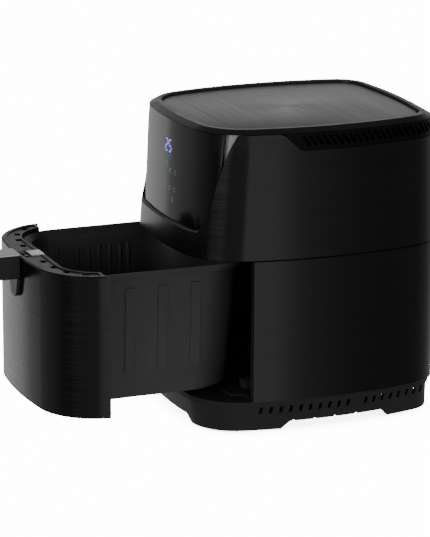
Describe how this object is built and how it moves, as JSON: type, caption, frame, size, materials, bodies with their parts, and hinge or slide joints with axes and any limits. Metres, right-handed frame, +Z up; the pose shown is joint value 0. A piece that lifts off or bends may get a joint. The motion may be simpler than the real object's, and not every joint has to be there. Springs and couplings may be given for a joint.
{
  "type": "basket air fryer",
  "caption": "Countertop air fryer with a slide-out pot drawer, lift-out crisper plate, leaning gloss touch panel and a fan-driven heater in its head.",
  "frame": {"origin": "bottom centre of the whole object's box at rest, on the floor plane; the middle of the body is 108 mm behind it", "axes": "+Z up, the drawer slides out along -Y, +X is to the right when looking along +Y"},
  "size_m": [0.248, 0.5, 0.32],
  "materials": {
    "black_plastic": "moulded, fine texture",
    "rail_plastic": "moulded, worn smooth",
    "rubber_pad": "matt rubber",
    "screw_steel": "zinc plated",
    "brushed_wrap": "black, fine horizontal brushing under a satin coat",
    "liner_steel": "plain galvanised sheet",
    "panel_frame": "satin moulding",
    "panel_gloss": "high gloss, smoked",
    "display_light": "lit blue-violet figures",
    "touch_light": "faintly lit touch marks",
    "circuit_board": "green board",
    "board_parts": "potted parts",
    "top_ring": "satin dark grey",
    "lid_plate": "fine brushed dark grey",
    "heater_metal": "sheathed element, heat tinted",
    "guard_wire": "stamped steel",
    "motor_core": "laminated steel",
    "copper": "enamelled winding",
    "fan_metal": "pressed aluminium",
    "fan_plastic": "moulded",
    "switch_body": "moulded",
    "switch_pin": "turned",
    "drawer_plastic": "moulded, fine texture",
    "nonstick": "satin non-stick coating",
    "silicone": "soft silicone",
    "handle_plastic": "moulded, satin",
    "handle_cap": "light grey satin",
    "strap_metal": "satin steel"
  },
  "bodies": {
    "housing": {"base_tray": "black_plastic", "bottom_cover": "black_plastic", "foot_pads": "rubber_pad", "base_screws": "screw_steel", "lower_wrap": "brushed_wrap", "front_frame": "black_plastic", "cavity_liner": "liner_steel", "cavity_floor": "black_plastic", "guide_rails": "rail_plastic", "drawer_catches": "screw_steel", "cord_inlet": "black_plastic", "upper_wrap": "brushed_wrap", "panel_frame": "panel_frame", "control_panel": "panel_gloss", "control_board": "circuit_board", "display_module": "display_light", "touch_springs": "touch_light", "vent_grille": "black_plastic", "rear_outlet": "black_plastic", "top_ring": "top_ring", "ring_carrier": "black_plastic", "lid_plate": "lid_plate", "head_floor": "black_plastic", "heater_box": "liner_steel", "heater_coil": "heater_metal", "heater_clips": "liner_steel", "fan_guard": "guard_wire", "motor": "motor_core", "motor_windings": "copper", "motor_bracket": "liner_steel", "motor_screws": "screw_steel", "thermal_cutout": "switch_body", "temperature_probe": "switch_pin", "power_board": "circuit_board", "board_parts": "board_parts", "board_posts": "rail_plastic", "safety_switch": "switch_body"},
    "fan": {"convection_fan": "fan_metal", "cooling_fan": "fan_plastic", "motor_shaft": "motor_core", "fan_nut": "screw_steel"},
    "plunger": {"switch_plunger": "switch_pin"},
    "drawer": {"drawer_front": "brushed_wrap", "drawer_backing": "drawer_plastic", "drawer_trim": "drawer_plastic", "pot": "nonstick", "pot_hooks": "nonstick", "handle_shell": "handle_plastic", "handle_cap": "handle_cap", "handle_bracket": "strap_metal", "handle_tongue": "handle_plastic", "handle_screws": "screw_steel"},
    "crisper": {"crisper_plate": "nonstick", "crisper_bumpers": "silicone"}
  },
  "joints": [
    {"name": "drawer_slide", "type": "slide", "parent": "housing", "child": "drawer", "axis": [0, -1, 0], "range_m": [-0.154, 0.075]},
    {"name": "crisper_lift", "type": "slide", "parent": "drawer", "child": "crisper", "axis": [0, 0, 1], "range_m": [0, 0.11]},
    {"name": "fan_spin", "type": "hinge", "parent": "housing", "child": "fan", "pos_m": [0, 0.09, 0.26], "axis": [0, 0, 1], "continuous": true},
    {"name": "plunger_press", "type": "slide", "parent": "housing", "child": "plunger", "axis": [0, 1, 0], "range_m": [0, 0.003], "stiffness_N_per_m": 200, "springref_m": -0.002}
  ]
}
